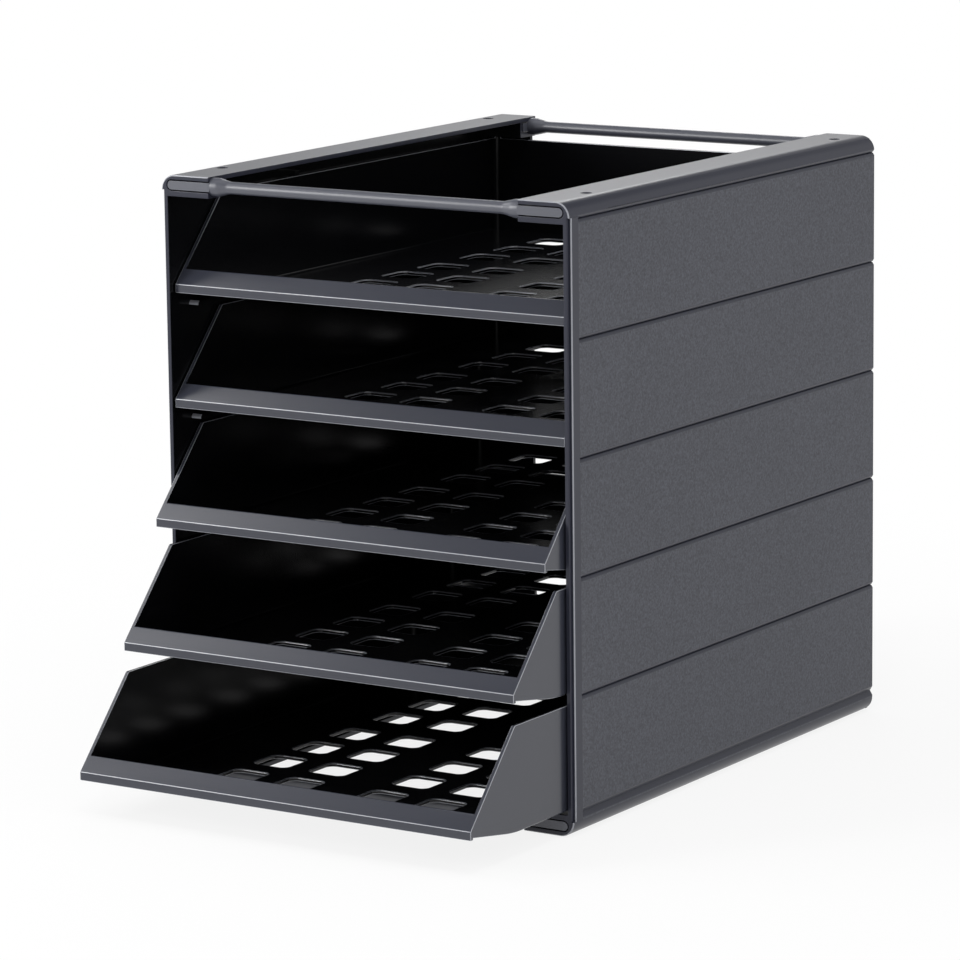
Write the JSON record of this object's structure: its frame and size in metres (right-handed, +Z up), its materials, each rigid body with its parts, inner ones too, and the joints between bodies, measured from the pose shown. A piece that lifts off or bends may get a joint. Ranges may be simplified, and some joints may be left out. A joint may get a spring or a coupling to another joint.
{
  "type": "letter tray stack with drawers",
  "caption": "Open-top desk drawer stack: grooved side panels joined by cross bars, with open-front letter trays that slide on moulded runners.",
  "frame": {"origin": "on the ground, at the centre of the four stacking holes in the bottom flanges", "axes": "+X to the right seen from the front, +Y from the front to the back, +Z up; the drawers open towards -Y"},
  "size_m": [0.25, 0.409, 0.3243],
  "materials": {
    "textured_shell": "charcoal injection-moulded polystyrene, fine texture outside, smooth flanges",
    "bar": "charcoal injection-moulded polystyrene, satin smooth",
    "drawer": "charcoal injection-moulded polystyrene, smooth semi-gloss"
  },
  "bodies": {
    "frame": {"side_panel_left": "textured_shell", "side_panel_right": "textured_shell", "cross_bar_top_front": "bar", "cross_bar_top_rear": "bar", "cross_bar_bottom_front": "bar", "cross_bar_bottom_rear": "bar"},
    "drawer_1": {"drawer_1": "drawer"},
    "drawer_2": {"drawer_2": "drawer"},
    "drawer_3": {"drawer_3": "drawer"},
    "drawer_4": {"drawer_4": "drawer"},
    "drawer_5": {"drawer_5": "drawer"}
  },
  "joints": [
    {"name": "drawer_1_slide", "type": "slide", "parent": "frame", "child": "drawer_1", "axis": [0, -1, 0], "range_m": [0, 0.2]},
    {"name": "drawer_2_slide", "type": "slide", "parent": "frame", "child": "drawer_2", "axis": [0, -1, 0], "range_m": [-0.0025, 0.1975]},
    {"name": "drawer_3_slide", "type": "slide", "parent": "frame", "child": "drawer_3", "axis": [0, -1, 0], "range_m": [-0.022, 0.178]},
    {"name": "drawer_4_slide", "type": "slide", "parent": "frame", "child": "drawer_4", "axis": [0, -1, 0], "range_m": [-0.0525, 0.1475]},
    {"name": "drawer_5_slide", "type": "slide", "parent": "frame", "child": "drawer_5", "axis": [0, -1, 0], "range_m": [-0.093, 0.107]}
  ]
}
